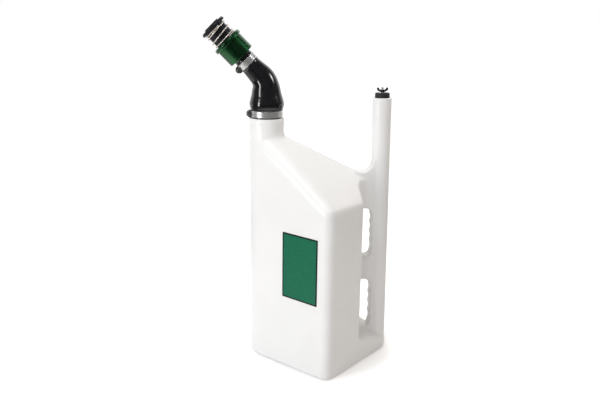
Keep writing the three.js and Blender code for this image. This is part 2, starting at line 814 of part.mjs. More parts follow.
function plugTopWasher() {
  return ring(STUD_R + GAP, PLUG_WASHER_R, plugTop + GAP, washerTop, 32);
}

function plugBottomWasher() {
  return ring(STUD_R + GAP, BOTTOM_WASHER_R, bottomWasherLow, plugLow - GAP, 32);
}

function plugStud() {
  const headHigh = bottomWasherLow - GAP;
  return turned([
    [0, headHigh - STUD_HEAD_LENGTH],
    [STUD_HEAD_R, headHigh - STUD_HEAD_LENGTH],
    [STUD_HEAD_R, headHigh],
    [STUD_R, headHigh],
    [STUD_R, plugTop + STUD_PROUD - 0.6],
    [STUD_R - 0.6, plugTop + STUD_PROUD],
    [0, plugTop + STUD_PROUD],
  ], 24);
}

function wingNut() {
  const low = washerTop + GAP;
  const high = low + WING_HUB_LENGTH;
  const hub = solid(turned([
    [0, low],
    [WING_HUB_R, low],
    [WING_HUB_R - 0.8, high],
    [0, high],
  ], 24));
  const reach = WING_SPAN / 2;
  const shape = new THREE.Shape();
  shape.moveTo(1, low + 1);
  shape.lineTo(WING_HUB_R + 1, low + 1);
  shape.bezierCurveTo(reach - 2, low + 2, reach, low + 4, reach, low + WING_RISE);
  shape.bezierCurveTo(reach, low + WING_RISE + 3, reach - 3.5, low + WING_RISE + 3,
    reach - 4.5, low + WING_RISE);
  shape.bezierCurveTo(reach - 5, low + 5, WING_HUB_R, high - 0.5, 1, high - 0.5);
  const wing = extruded(shape, WING_THICK, 5).rotateX(Math.PI / 2).translate(0, WING_THICK / 2, 0);
  const other = wing.clone().rotateZ(Math.PI);
  const bore = solid(disc(STUD_R + GAP, low - 1, high + 1, 24));
  return geometryOf(joined([hub, solid(wing), solid(other)]).subtract(bore));
}

// Label on the flat face between the neck corner and the near side corner
function frontLabel() {
  const label = new THREE.BoxGeometry(LABEL_WIDTH, LABEL_THICK, LABEL_HEIGHT);
  label.translate(
    LABEL_FROM_NECK_CORNER + LABEL_WIDTH / 2,
    -(GAP + LABEL_THICK / 2),
    LABEL_BOTTOM_Z + LABEL_HEIGHT / 2,
  );
  return label.rotateZ(-Math.PI / 4).translate(-HALF, 0, 0);
}

const finishes = {
  whitePlastic: { color: 0xf0f0ee, roughness: 0.42, metalness: 0 },
  blackSilicone: { color: 0x111214, roughness: 0.28, metalness: 0 },
  blackRubber: { color: 0x17181a, roughness: 0.6, metalness: 0 },
  greenAnodised: { color: 0x0f5a2c, roughness: 0.3, metalness: 0.8 },
  blackAnodised: { color: 0x1b1c1e, roughness: 0.35, metalness: 0.6 },
  bandSteel: { color: 0xc9cbcd, roughness: 0.3, metalness: 0.95 },
  springSteel: { color: 0xd8d4cc, roughness: 0.22, metalness: 1 },
  brightSteel: { color: 0xb9bcc0, roughness: 0.3, metalness: 1 },
  labelGreen: { color: 0x1c7658, roughness: 0.4, metalness: 0 },
};

function piece(name, geometry, finish) {
  geometry.computeVertexNormals();
  const mesh = new THREE.Mesh(geometry, new THREE.MeshStandardMaterial(finishes[finish]));
  mesh.name = name;
  return mesh;
}

function clampPieces(prefix, hoseR) {
  const clamp = new THREE.Group();
  clamp.add(piece(`${prefix}_clamp_band`, clampBand(hoseR), 'bandSteel'));
  clamp.add(piece(`${prefix}_clamp_housing`, clampHousing(hoseR), 'bandSteel'));
  clamp.add(piece(`${prefix}_clamp_screw`, clampScrew(hoseR), 'brightSteel'));
  return clamp;
}

const jug = new THREE.Group();
jug.add(piece('jug_body', jugBody(), 'whitePlastic'));
jug.add(piece('front_label', frontLabel(), 'labelGreen'));
jug.add(piece('elbow_hose', elbowHose(), 'blackSilicone'));

const lowClamp = clampPieces('lower', hoseLowR);
lowClamp.position.set(NECK_X, 0, NECK_RIM_Z + GAP + LOW_CLAMP_FROM_END);
jug.add(lowClamp);

const hoseTop = hosePlace(hoseLength);
const nozzle = new THREE.Group();
nozzle.position.set(hoseTop.x, 0, hoseTop.z);
nozzle.rotation.y = -hoseTop.turn;
nozzle.add(piece('nozzle_collar', nozzleCollar(), 'greenAnodised'));
nozzle.add(piece('gland_ring', glandRing(), 'blackAnodised'));
nozzle.add(piece('gland_seal', glandSeal(), 'blackRubber'));
nozzle.add(piece('slide_sleeve', slideSleeve(), 'blackAnodised'));
nozzle.add(piece('tip_ring', tipRing(), 'blackAnodised'));
nozzle.add(piece('return_spring', returnSpring(), 'springSteel'));
nozzle.add(piece('valve_head', valveHead(), 'blackAnodised'));
nozzle.add(piece('valve_seal', valveSeal(), 'blackRubber'));
nozzle.add(piece('valve_stem', valveStem(), 'brightSteel'));
nozzle.add(piece('stem_spider', stemSpider(), 'brightSteel'));
nozzle.add(piece('stem_nut', stemNut(), 'brightSteel'));
const highClamp = clampPieces('upper', hoseHighR);
highClamp.position.z = -HIGH_CLAMP_FROM_END;
nozzle.add(highClamp);
jug.add(nozzle);

const handle = new THREE.Group();
handle.position.x = TUBE_X;
handle.rotation.y = -LEAN;
handle.add(piece('vent_plug', ventPlug(), 'blackRubber'));
handle.add(piece('plug_top_washer', plugTopWasher(), 'bandSteel'));
handle.add(piece('plug_bottom_washer', plugBottomWasher(), 'bandSteel'));
handle.add(piece('plug_stud', plugStud(), 'brightSteel'));
handle.add(piece('wing_nut', wingNut(), 'blackAnodised'));
jug.add(handle);

export default jug;
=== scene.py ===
"""A square fuel jug with an elbow hose and a sprung filler nozzle, dressed over its solids."""

import math

import bmesh
import bpy
import numpy as np
from mathutils import Matrix, Vector


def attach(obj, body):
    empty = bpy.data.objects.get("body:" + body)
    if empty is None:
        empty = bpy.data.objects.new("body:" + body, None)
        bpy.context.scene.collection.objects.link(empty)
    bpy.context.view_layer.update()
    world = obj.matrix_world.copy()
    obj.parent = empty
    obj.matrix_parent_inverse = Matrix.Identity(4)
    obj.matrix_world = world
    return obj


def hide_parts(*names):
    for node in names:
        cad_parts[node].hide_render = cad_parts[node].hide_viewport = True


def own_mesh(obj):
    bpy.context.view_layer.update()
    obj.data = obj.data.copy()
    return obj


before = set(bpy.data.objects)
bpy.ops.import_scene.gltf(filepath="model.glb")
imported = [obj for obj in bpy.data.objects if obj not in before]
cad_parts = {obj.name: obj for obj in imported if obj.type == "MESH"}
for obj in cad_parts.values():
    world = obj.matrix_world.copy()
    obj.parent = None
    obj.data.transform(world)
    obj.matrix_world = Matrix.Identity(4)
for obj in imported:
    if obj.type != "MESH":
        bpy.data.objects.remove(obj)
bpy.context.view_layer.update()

bl_info = {
    "name": "Quick-fill fuel jug",
    "version": (1, 0, 0),
    "blender": (4, 5, 0),
    "location": "3D View > Sidebar > Fuel jug",
    "description": "Builds a moulded fuel jug with its hose, clamps, filler nozzle and vent plug",
    "category": "Add Mesh",
}

MM = 0.001

# Places and sizes on the solids, in millimetres and degrees
HALF_DIAGONAL = 166.877
NECK_X = -110.934
NECK_RIM_Z = 509.5
NECK_R = 35.2
SKIN_CUT_Z = 497.0
SPIGOT_R = 26.5
SPIGOT_BORE_R = 22.8
SPIGOT_TOP_Z = 545.5
HANDLE_X = 132.517
HANDLE_LEAN = -0.78
HANDLE_R = 19.2
HANDLE_BORE_R = 15.35
HANDLE_TOP = 550.0
HOSE_BASE_Z = 509.8
HOSE_STRAIGHT = 52.6
HOSE_BEND_R = 46.0
HOSE_ANGLE = 45.0
HOSE_LOW_R = 31.0
HOSE_HIGH_R = 19.3
HOSE_WALL = 4.2
HOSE_LEAN = 1.4
HOSE_LEAN_AT = 62.0
HOSE_LEAN_SPAN = 12.0
HOSE_LENGTH = HOSE_STRAIGHT + HOSE_BEND_R * math.radians(HOSE_ANGLE) + 50.6
NOZZLE_X = -160.187
NOZZLE_Z = 630.707
CLAMP_FROM_LOW_END = 8.3
CLAMP_FROM_HIGH_END = 14.5
BAND_WIDTH = 12.5
BAND_THICK = 0.8
BAND_TAIL_START = 186.0
BAND_TAIL_SWEEP = 134.0
FIT_GAP = 0.3
COLLAR_TOP = 43.3
SLEEVE_REACH = 82.0
TIP_RING_LOW = 75.0
SPRING_START = -64.8
PLUG_TOP = 559.4
PLUG_LOW = 528.0

# Frames of the pieces that stand on their own axis
NECK_FRAME = Matrix.Translation((NECK_X * MM, 0, 0))
HANDLE_FRAME = Matrix.Translation((HANDLE_X * MM, 0, 0)) @ Matrix.Rotation(
    math.radians(HANDLE_LEAN), 4, "Y"
)
NOZZLE_FRAME = Matrix.Translation((NOZZLE_X * MM, 0, NOZZLE_Z * MM)) @ Matrix.Rotation(
    math.radians(-HOSE_ANGLE), 4, "Y"
)
LOWER_CLAMP_FRAME = Matrix.Translation(
    (NECK_X * MM, 0, (HOSE_BASE_Z + CLAMP_FROM_LOW_END) * MM)
)
UPPER_CLAMP_FRAME = NOZZLE_FRAME @ Matrix.Translation((0, 0, -CLAMP_FROM_HIGH_END * MM))
LABEL_FRAME = Matrix.Translation((-HALF_DIAGONAL * MM, 0, 0)) @ Matrix.Rotation(
    math.radians(-45), 4, "Z"
)

# Sides of the turned and swept pieces
WIDE_SIDES = 144
HANDLE_SIDES = 120
PLUG_SIDES = 96
HOSE_SIDES = 96
SPRING_SIDES = 14

# Colours of the stage
BLACK = (0, 0, 0)
DIM = (0.09, 0.09, 0.09)
WHITE = (1, 1, 1)


def length_field(name, description, millimetres):
    """A length, given here in millimetres, as a field of the panel."""
    return bpy.props.FloatProperty(
        name=name,
        description=description,
        default=millimetres * MM,
        unit="LENGTH",
        subtype="DISTANCE",
    )


def colour_field(name, description, default):
    """A colour as a field of the panel."""
    return bpy.props.FloatVectorProperty(
        name=name, description=description, default=default, min=0, max=1, subtype="COLOR"
    )


class JugSizes(bpy.types.PropertyGroup):
    """Sizes that change how the dressed pieces look."""

    skin_grain: length_field(
        "Skin grain", "Edge length of the facets that the moulded skin is relaxed on", 2.6
    )
    skin_softness: bpy.props.IntProperty(
        name="Skin softness",
        description="Rounds of relaxing that soften the moulded edges",
        default=6,
        min=0,
    )
    label_border: length_field(
        "Label border", "Width of the dark edge printed round the label", 3.0
    )
    spring_wire: length_field("Spring wire", "Radius of the return spring's wire", 1.3)
    spring_turns: bpy.props.FloatProperty(
        name="Spring turns",
        description="Turns of the return spring, with its two closed ends",
        default=4.0,
    )
    clamp_squeeze: length_field(
        "Clamp squeeze", "How far the hose swells beside each clamp band", 0.8
    )


class JugColours(bpy.types.PropertyGroup):
    """Colours of the jug's finishes."""

    plastic: colour_field("Plastic", "Natural white of the moulded tank", (0.86, 0.86, 0.855))
    label: colour_field("Label", "Green of the printed label", (0.006, 0.135, 0.07))
    label_edge: colour_field("Label edge", "Dark line round the label", (0.003, 0.003, 0.004))
    hose: colour_field("Hose", "Black of the silicone hose", (0.004, 0.0042, 0.0052))
    collar: colour_field("Collar", "Green of the anodised nozzle collar", (0.014, 0.1, 0.03))
    black_metal: colour_field(
        "Black metal", "Black of the anodised sleeve and tip", (0.022, 0.022, 0.025)
    )
    band_steel: colour_field(
        "Band steel", "Rolled stainless strip of the clamps", (0.66, 0.66, 0.66)
    )
    spring_steel: colour_field(
        "Spring steel", "Bright wire of the return spring", (0.78, 0.73, 0.67)
    )


def new_group(name, inputs, outputs):
    """A shader node group with named inputs and outputs."""
    group = bpy.data.node_groups.new(name, "ShaderNodeTree")
    for label, kind, value in inputs:
        socket = group.interface.new_socket(label, in_out="INPUT", socket_type=kind)
        if value is not None:
            socket.default_value = value
    for label, kind in outputs:
        group.interface.new_socket(label, in_out="OUTPUT", socket_type=kind)
    return group, group.nodes.new("NodeGroupInput"), group.nodes.new("NodeGroupOutput")


def noise(tree, vector, scale, detail=3.0):
    node = tree.nodes.new("ShaderNodeTexNoise")
    node.inputs["Detail"].default_value = detail
    if isinstance(scale, (int, float)):
        node.inputs["Scale"].default_value = scale
    else:
        tree.links.new(scale, node.inputs["Scale"])
    tree.links.new(vector, node.inputs["Vector"])
    return node.outputs["Fac"]


def mapped(tree, value, low, high, to_low, to_high):
    """value between low and high, spread smoothly over to_low and to_high."""
    node = tree.nodes.new("ShaderNodeMapRange")
    node.interpolation_type = "SMOOTHSTEP"
    tree.links.new(value, node.inputs["Value"])
    bounds = {"From Min": low, "From Max": high, "To Min": to_low, "To Max": to_high}
    for label, bound in bounds.items():
        if isinstance(bound, (int, float)):
            node.inputs[label].default_value = bound
        else:
            tree.links.new(bound, node.inputs[label])
    return node.outputs["Result"]


def maths(tree, operation, first, second=0.0):
    node = tree.nodes.new("ShaderNodeMath")
    node.operation = operation
    for socket, value in zip(node.inputs, (first, second)):
        if isinstance(value, (int, float)):
            socket.default_value = value
        else:
            tree.links.new(value, socket)
    return node.outputs[0]


def split(tree, vector):
    """The X, Y and Z sockets of a vector."""
    node = tree.nodes.new("ShaderNodeSeparateXYZ")
    tree.links.new(vector, node.inputs["Vector"])
    return node.outputs


def squared_radius(tree, parts):
    """The squared distance from the Z axis."""
    across = maths(tree, "MULTIPLY", parts["X"], parts["X"])
    along = maths(tree, "MULTIPLY", parts["Y"], parts["Y"])
    return maths(tree, "ADD", across, along)


def mixed(tree, share, first, second):
    """A colour between first and second."""
    node = tree.nodes.new("ShaderNodeMix")
    node.data_type = "RGBA"
    tree.links.new(share, node.inputs["Factor"])
    for label, colour in (("A", first), ("B", second)):
        socket = next(s for s in node.inputs if s.name == label and s.type == "RGBA")
        if isinstance(colour, (tuple, list)):
            socket.default_value = (*colour, 1)
        else:
            tree.links.new(colour, socket)
    return next(s for s in node.outputs if s.type == "RGBA")


def mottle_group():
    """Soft cloudy variation at one scale, as in moulded plastic, rubber and anodising."""
    group, given, made = new_group(
        "Mottle",
        [
            ("Vector", "NodeSocketVector", None),
            ("Scale", "NodeSocketFloat", 20.0),
            ("Low", "NodeSocketFloat", 0.0),
            ("High", "NodeSocketFloat", 1.0),
        ],
        [("Value", "NodeSocketFloat")],
    )
    cloud = noise(group, given.outputs["Vector"], given.outputs["Scale"])
    value = mapped(group, cloud, 0.3, 0.7, given.outputs["Low"], given.outputs["High"])
    group.links.new(value, made.inputs["Value"])
    return group


def turned_group():
    """Fine rings that a lathe or a roller leaves round a piece's own Z axis."""
    group, given, made = new_group(
        "Turned lines",
        [
            ("Vector", "NodeSocketVector", None),
            ("Scale", "NodeSocketFloat", 1000.0),
            ("Streak", "NodeSocketFloat", 20.0),
        ],
        [("Value", "NodeSocketFloat")],
    )
    parts = split(group, given.outputs["Vector"])
    scale = given.outputs["Scale"]
    radius = maths(group, "SQRT", squared_radius(group, parts))
    turn = maths(group, "ARCTAN2", parts["Y"], parts["X"])
    around = maths(group, "ABSOLUTE", turn)
    joined = group.nodes.new("ShaderNodeCombineXYZ")
    for axis, way, stretch in (
        ("X", radius, scale),
        ("Y", parts["Z"], scale),
        ("Z", around, given.outputs["Streak"]),
    ):
        group.links.new(maths(group, "MULTIPLY", way, stretch), joined.inputs[axis])
    lines = noise(group, joined.outputs["Vector"], 1.0, detail=2.0)
    group.links.new(mapped(group, lines, 0.25, 0.75, 0.0, 1.0), made.inputs["Value"])
    return group


def placed_group(tree, group, vector, **values):
    node = tree.nodes.new("ShaderNodeGroup")
    node.node_tree = group
    tree.links.new(vector, node.inputs["Vector"])
    for label, value in values.items():
        node.inputs[label.replace("_", " ").capitalize()].default_value = value
    return node.outputs["Value"]


def mottled(tree, place, **values):
    """The cloudy pattern at place, with values for its scale and its lowest and highest."""
    return placed_group(tree, bpy.data.node_groups["Mottle"], place, **values)


def bare_material(name, colour, roughness, metallic=0.0):
    """A material with its shader, and Object coordinates to hang patterns on."""
    material = bpy.data.materials.new(name)
    material.use_nodes = True
    tree = material.node_tree
    shader = tree.nodes["Principled BSDF"]
    shader.inputs["Base Color"].default_value = (*colour, 1)
    shader.inputs["Roughness"].default_value = roughness
    shader.inputs["Metallic"].default_value = metallic
    place = tree.nodes.new("ShaderNodeTexCoord").outputs["Object"]
    return material, tree, shader, place


def bumped(tree, shader, height, strength, distance):
    bump = tree.nodes.new("ShaderNodeBump")
    bump.inputs["Strength"].default_value = strength
    bump.inputs["Distance"].default_value = distance
    tree.links.new(height, bump.inputs["Height"])
    tree.links.new(bump.outputs["Normal"], shader.inputs["Normal"])


def own_axis(tree, place, place_frame):
    """Object coordinates brought to a piece's own frame, with Z along its axis."""
    node = tree.nodes.new("ShaderNodeMapping")
    node.vector_type = "TEXTURE"
    node.inputs["Location"].default_value = place_frame.to_translation()
    node.inputs["Rotation"].default_value = place_frame.to_euler()
    tree.links.new(place, node.inputs["Vector"])
    return node.outputs["Vector"]


def shade_of(colour, share):
    return tuple(channel * share for channel in colour)


def moulded_plastic(colour):
    """Natural white polyethylene: milky, satin, with a faint orange peel and a mould line."""
    material, tree, shader, place = bare_material("moulded_plastic", colour, 0.42)
    cloud = mottled(tree, place, scale=14.0)
    tint = mixed(tree, cloud, shade_of(colour, 0.975), colour)
    tree.links.new(tint, shader.inputs["Base Color"])
    satin = mottled(tree, place, scale=60.0, low=0.3, high=0.38)
    tree.links.new(satin, shader.inputs["Roughness"])
    peel = mottled(tree, place, scale=420.0)
    wave = mottled(tree, place, scale=35.0)
    beside = maths(tree, "ABSOLUTE", split(tree, place)["Y"])
    seam = mapped(tree, beside, 0.0002, 0.0006, 1.0, 0.0)
    height = maths(tree, "ADD", peel, maths(tree, "MULTIPLY", wave, 2.0))
    height = maths(tree, "ADD", height, maths(tree, "MULTIPLY", seam, 2.5))
    bumped(tree, shader, height, 0.25, 0.00008)
    return material


def printed_film(name, colour):
    """The label's printed film: even ink with a slight dither under a satin laminate."""
    material, tree, shader, place = bare_material(name, colour, 0.38)
    shader.inputs["Specular IOR Level"].default_value = 0.15
    ink = mottled(tree, place, scale=260.0)
    tint = mixed(tree, ink, shade_of(colour, 0.9), shade_of(colour, 1.1))
    tree.links.new(tint, shader.inputs["Base Color"])
    film = mottled(tree, place, scale=30.0, low=0.33, high=0.45)
    tree.links.new(film, shader.inputs["Roughness"])
    bumped(tree, shader, mottled(tree, place, scale=90.0), 0.12, 0.0001)
    return material


def ply_silicone(colour):
    """Glossy black silicone over fabric plies, whose wrap just shows through."""
    material, tree, shader, place = bare_material("ply_silicone", colour, 0.24)
    shader.inputs["Specular IOR Level"].default_value = 0.15
    shader.inputs["Coat Weight"].default_value = 0.9
    shader.inputs["Coat IOR"].default_value = 1.6
    shader.inputs["Coat Roughness"].default_value = 0.09
    film = mottled(tree, place, scale=90.0)
    tint = mixed(tree, film, colour, shade_of(colour, 1.6))
    tree.links.new(tint, shader.inputs["Base Color"])
    gloss = mottled(tree, place, scale=45.0, low=0.2, high=0.3)
    tree.links.new(gloss, shader.inputs["Roughness"])
    lie = tree.nodes.new("ShaderNodeUVMap").outputs["UV"]
    height = mottled(tree, place, scale=55.0)
    for turn in (45, -45):
        turned = tree.nodes.new("ShaderNodeMapping")
        turned.inputs["Rotation"].default_value = (0, 0, math.radians(turn))
        tree.links.new(lie, turned.inputs["Vector"])
        thread = tree.nodes.new("ShaderNodeTexWave")
        thread.inputs["Scale"].default_value = 190.0
        thread.inputs["Distortion"].default_value = 0.6
        tree.links.new(turned.outputs["Vector"], thread.inputs["Vector"])
        raised = maths(tree, "MULTIPLY", thread.outputs["Fac"], 0.16)
        height = maths(tree, "ADD", height, raised)
    bumped(tree, shader, height, 0.35, 0.0004)
    return material


def turned_metal(
    name, colour, roughness, place_frame, lines, depth, metallic=1.0, coat=0.0
):
    """Metal that shows the fine rings of turning or rolling about its own axis."""
    material, tree, shader, place = bare_material(name, colour, roughness, metallic)
    shader.inputs["Coat Weight"].default_value = coat
    shader.inputs["Coat Roughness"].default_value = 0.08
    own = own_axis(tree, place, place_frame)
    rings = placed_group(
        tree, bpy.data.node_groups["Turned lines"], own, scale=lines, streak=1.2
    )
    cloud = mottled(tree, place, scale=70.0)
    tint = mixed(tree, rings, shade_of(colour, 0.92), colour)
    tint = mixed(tree, cloud, tint, shade_of(colour, 1.06))
    tree.links.new(tint, shader.inputs["Base Color"])
    worn = maths(tree, "MULTIPLY", rings, 0.5 * roughness)
    worn = maths(tree, "ADD", worn, 0.75 * roughness)
    tree.links.new(worn, shader.inputs["Roughness"])
    bumped(tree, shader, rings, 0.3, depth)
    return material


def drawn_wire(colour):
    """Bright spring wire with the faint lengthwise haze of drawing."""
    material, tree, shader, place = bare_material("drawn_wire", colour, 0.3, 0.65)
    haze = mottled(tree, place, scale=90.0, low=0.28, high=0.34)
    tree.links.new(haze, shader.inputs["Roughness"])
    cloud = mottled(tree, place, scale=120.0)
    tint = mixed(tree, cloud, shade_of(colour, 0.85), colour)
    tree.links.new(tint, shader.inputs["Base Color"])
    return material


def moulded_rubber(colour):
    """Matt black rubber with a fine bloom."""
    material, tree, shader, place = bare_material("moulded_rubber", colour, 0.6)
    bloom = mottled(tree, place, scale=150.0)
    tint = mixed(tree, bloom, colour, shade_of(colour, 1.7))
    tree.links.new(tint, shader.inputs["Base Color"])
    matt = mottled(tree, place, scale=80.0, low=0.48, high=0.7)
    tree.links.new(matt, shader.inputs["Roughness"])
    bumped(tree, shader, mottled(tree, place, scale=900.0), 0.3, 0.0001)
    return material


def made_materials(colours):
    """Every finish of the jug, by name."""
    mottle_group()
    turned_group()
    steel = tuple(colours.band_steel)
    black = tuple(colours.black_metal)
    nozzle_turned = {"place_frame": NOZZLE_FRAME, "lines": 900.0, "depth": 0.000002}
    rolled = {"lines": 1700.0, "depth": 0.00002, "metallic": 0.85}
    return {
        "plastic": moulded_plastic(tuple(colours.plastic)),
        "label": printed_film("label_green", tuple(colours.label)),
        "label_edge": printed_film("label_edge", tuple(colours.label_edge)),
        "hose": ply_silicone(tuple(colours.hose)),
        "collar": turned_metal(
            "anodised_green", tuple(colours.collar), 0.27, coat=0.6, **nozzle_turned
        ),
        "black_metal": turned_metal(
            "anodised_black", black, 0.34, metallic=0.7, **nozzle_turned
        ),
        "wing_metal": turned_metal(
            "cast_black", black, 0.42, HANDLE_FRAME, 1500.0, 0.00004, metallic=0.5
        ),
        "lower_steel": turned_metal(
            "lower_band_steel", steel, 0.36, LOWER_CLAMP_FRAME, **rolled
        ),
        "upper_steel": turned_metal(
            "upper_band_steel", steel, 0.36, UPPER_CLAMP_FRAME, **rolled
        ),
        "handle_steel": turned_metal(
            "handle_steel", steel, 0.32, HANDLE_FRAME, 1800.0, 0.00003
        ),
        "screw_steel": turned_metal(
            "machined_steel", shade_of(steel, 0.7), 0.22, NOZZLE_FRAME, 900.0, 0.00001
        ),
        # The worm housing's steel at half the band's colour: painted shade that stands in for the
        # dark cavity round its screw.
        "housing_steel_painted_shade": turned_metal(
            "pressed_steel_painted_shade", shade_of(steel, 0.5), 0.2, NOZZLE_FRAME, 900.0, 0.00001
        ),
        "spring": drawn_wire(tuple(colours.spring_steel)),
        "rubber": moulded_rubber((0.012, 0.012, 0.013)),
    }


FINISHES = {}


def softened(outline, size, steps=3):
    """A closed outline of (radius, height) with rounded corners, each held by a close point."""
    points = []
    count = len(outline)
    for i, corner in enumerate(outline):
        here = Vector(corner)
        back = Vector(outline[i - 1]) - here
        ahead = Vector(outline[(i + 1) % count]) - here
        if here.x < 1e-6 or back.angle(-ahead) < math.radians(12):
            points.append(here)
            continue
        cut = min(size, 0.3 * back.length, 0.3 * ahead.length)
        start = here + cut * back.normalized()
        end = here + cut * ahead.normalized()
        points.append(start + 0.35 * cut * back.normalized())
        for k in range(steps + 1):
            share = k / steps
            points.append(
                start * (1 - share) ** 2
                + here * 2 * share * (1 - share)
                + end * share**2
            )
        points.append(end + 0.35 * cut * ahead.normalized())
    return points


def spun(outline, sides, angle=360.0, start=0.0):
    """A closed (radius, height) outline turned about Z, through angle degrees from start."""
    bm = bmesh.new()
    verts = [bm.verts.new((point[0], 0, point[1])) for point in outline]
    for first, second in zip(verts, verts[1:] + verts[:1]):
        if first.co.x > 1e-6 or second.co.x > 1e-6:
            bm.edges.new((first, second))
    full = angle >= 360.0
    bmesh.ops.rotate(
        bm,
        verts=bm.verts,
        cent=(0, 0, 0),
        matrix=Matrix.Rotation(math.radians(start), 3, "Z"),
    )
    bmesh.ops.spin(
        bm,
        geom=bm.verts[:] + bm.edges[:],
        cent=(0, 0, 0),
        axis=(0, 0, 1),
        angle=math.radians(angle),
        steps=sides,
        use_merge=full,
    )
    bmesh.ops.remove_doubles(bm, verts=bm.verts, dist=1e-4)
    if not full:
        open_edges = [edge for edge in bm.edges if edge.is_boundary]
        bmesh.ops.holes_fill(bm, edges=open_edges, sides=0)
    bmesh.ops.recalc_face_normals(bm, faces=bm.faces)
    return bm


def swept(sections, sides):
    """A tube through sections, each a matrix whose XY plane holds the ring and its scale."""
    bm = bmesh.new()
    bmesh.ops.create_circle(bm, segments=sides, radius=1.0)
    ring = bm.verts[:]
    edges = bm.edges[:]
    bmesh.ops.transform(bm, matrix=sections[0], verts=ring)
    for before, after in zip(sections, sections[1:]):
        grown = bmesh.ops.extrude_edge_only(bm, edges=edges)["geom"]
        ring = [item for item in grown if isinstance(item, bmesh.types.BMVert)]
        inside = set(ring)
        edges = [
            item
            for item in grown
            if isinstance(item, bmesh.types.BMEdge) and set(item.verts) <= inside
        ]
        bmesh.ops.transform(bm, matrix=after @ before.inverted(), verts=ring)
    open_edges = [edge for edge in bm.edges if edge.is_boundary]
    bmesh.ops.holes_fill(bm, edges=open_edges, sides=0)
    bmesh.ops.recalc_face_normals(bm, faces=bm.faces)
    return bm


def merged_copy(node):
    """A CAD node's shape as a closed mesh of its own, in metres."""
    bm = bmesh.new()
    bm.from_mesh(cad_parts[node].data)
    bmesh.ops.remove_doubles(bm, verts=bm.verts, dist=1e-6)
    bmesh.ops.dissolve_limit(
        bm, angle_limit=math.radians(1), verts=bm.verts, edges=bm.edges
    )
    return bm


def join_in(bm, other):
    """Adds the other shape to bm, which uses it up."""
    carried = bpy.data.meshes.new("carried")
    other.to_mesh(carried)
    other.free()
    bm.from_mesh(carried)
    bpy.data.meshes.remove(carried)
    return bm


def ring_outline(inner, outer, low, high):
    """The (radius, height) outline of a plain ring."""
    return [(inner, low), (outer, low), (outer, high), (inner, high)]


def piece(name, bm, body, slot, finishes, nodes=(), place=None, sharp=38):
    """Makes bm a piece that rides on a body and stands for CAD nodes. place turns millimetres
    in a frame of its own into metres in the row frame."""
    if place is not None:
        bm.transform(place @ Matrix.Scale(MM, 4))
    mesh = bpy.data.meshes.new(name)
    bm.to_mesh(mesh)
    bm.free()
    mesh.shade_smooth()
    mesh.set_sharp_from_angle(angle=math.radians(sharp))
    for finish in finishes:
        mesh.materials.append(FINISHES[finish])
    made = bpy.data.objects.new(name, mesh)
    bpy.context.scene.collection.objects.link(made)
    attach(made, body)
    if nodes:
        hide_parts(*nodes)
    return made


def turned_piece(name, outline, rounding, body, slot, finish, node, place, sides):
    """A piece turned about place's Z axis, with its corners rounded."""
    bm = spun(softened(outline, rounding), sides)
    piece(name, bm, body, slot, [finish], [node], place=place)


def rounded_edges(made, width, segments=3, angle=35):
    """A bevel along the edges that are sharper than angle."""
    bevel = made.modifiers.new("edge_rounding", "BEVEL")
    bevel.width = width * MM
    bevel.segments = segments
    bevel.limit_method = "ANGLE"
    bevel.angle_limit = math.radians(angle)


def plate(low, high, corner):
    """A block between two corners, with its four edges along Y rounded."""
    bm = bmesh.new()
    bmesh.ops.create_cube(bm, size=1.0)
    size = Vector(high) - Vector(low)
    middle = (Vector(high) + Vector(low)) / 2
    bmesh.ops.scale(bm, vec=size, verts=bm.verts)
    bmesh.ops.translate(bm, vec=middle, verts=bm.verts)
    across = []
    for edge in bm.edges:
        first, second = edge.verts
        if abs(first.co.y - second.co.y) > 0.1:
            across.append(edge)
    bmesh.ops.bevel(
        bm,
        geom=across,
        offset=corner,
        offset_type="OFFSET",
        affect="EDGES",
        segments=5,
        profile=0.5,
        material=-1,
    )
    return bm


def smoothstep(value, low, high):
    share = min(max((value - low) / (high - low), 0), 1)
    return share * share * (3 - 2 * share)


def outer_skin():
    """The tank's outer skin, cut below the neck rim and the vent and closed there."""
    bm = bmesh.new()
    bm.from_mesh(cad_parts["jug_body"].data)
    bmesh.ops.remove_doubles(bm, verts=bm.verts, dist=1e-6)
    bmesh.ops.bisect_plane(
        bm,
        geom=bm.verts[:] + bm.edges[:] + bm.faces[:],
        plane_co=(0, 0, SKIN_CUT_Z * MM),
        plane_no=(0, 0, 1),
        clear_outer=True,
    )
    lowest = min(bm.verts, key=lambda vert: vert.co.z)
    reached = {lowest}
    waiting = [lowest]
    while waiting:
        for edge in waiting.pop().link_edges:
            for vert in edge.verts:
                if vert not in reached:
                    reached.add(vert)
                    waiting.append(vert)
    inner = [vert for vert in bm.verts if vert not in reached]
    if not inner:
        raise RuntimeError("the tank's hollow breaks through its outer skin")
    bmesh.ops.delete(bm, geom=inner, context="VERTS")
    open_edges = [edge for edge in bm.edges if edge.is_boundary]
    bmesh.ops.holes_fill(bm, edges=open_edges, sides=0)
    bmesh.ops.recalc_face_normals(bm, faces=bm.faces)
    return bm


def relaxed(bm, grain, rounds):
    """bm remade on an even grid that lies along the tank's sides, with its edges softened."""
    turn = Matrix.Rotation(math.radians(45), 4, "Z")
    bm.transform(turn)
    rough = bpy.data.meshes.new("rough_skin")
    bm.to_mesh(rough)
    bm.free()
    blank = bpy.data.objects.new("rough_skin", rough)
    bpy.context.scene.collection.objects.link(blank)
    remesh = blank.modifiers.new("grid", "REMESH")
    remesh.mode = "VOXEL"
    remesh.voxel_size = grain
    smooth = blank.modifiers.new("soften", "SMOOTH")
    smooth.factor = 0.5
    smooth.iterations = rounds
    ready = blank.evaluated_get(bpy.context.evaluated_depsgraph_get())
    skin = bmesh.new()
    skin.from_mesh(ready.to_mesh())
    ready.to_mesh_clear()
    bpy.data.objects.remove(blank)
    bpy.data.meshes.remove(rough)
    skin.transform(turn.inverted())
    return skin


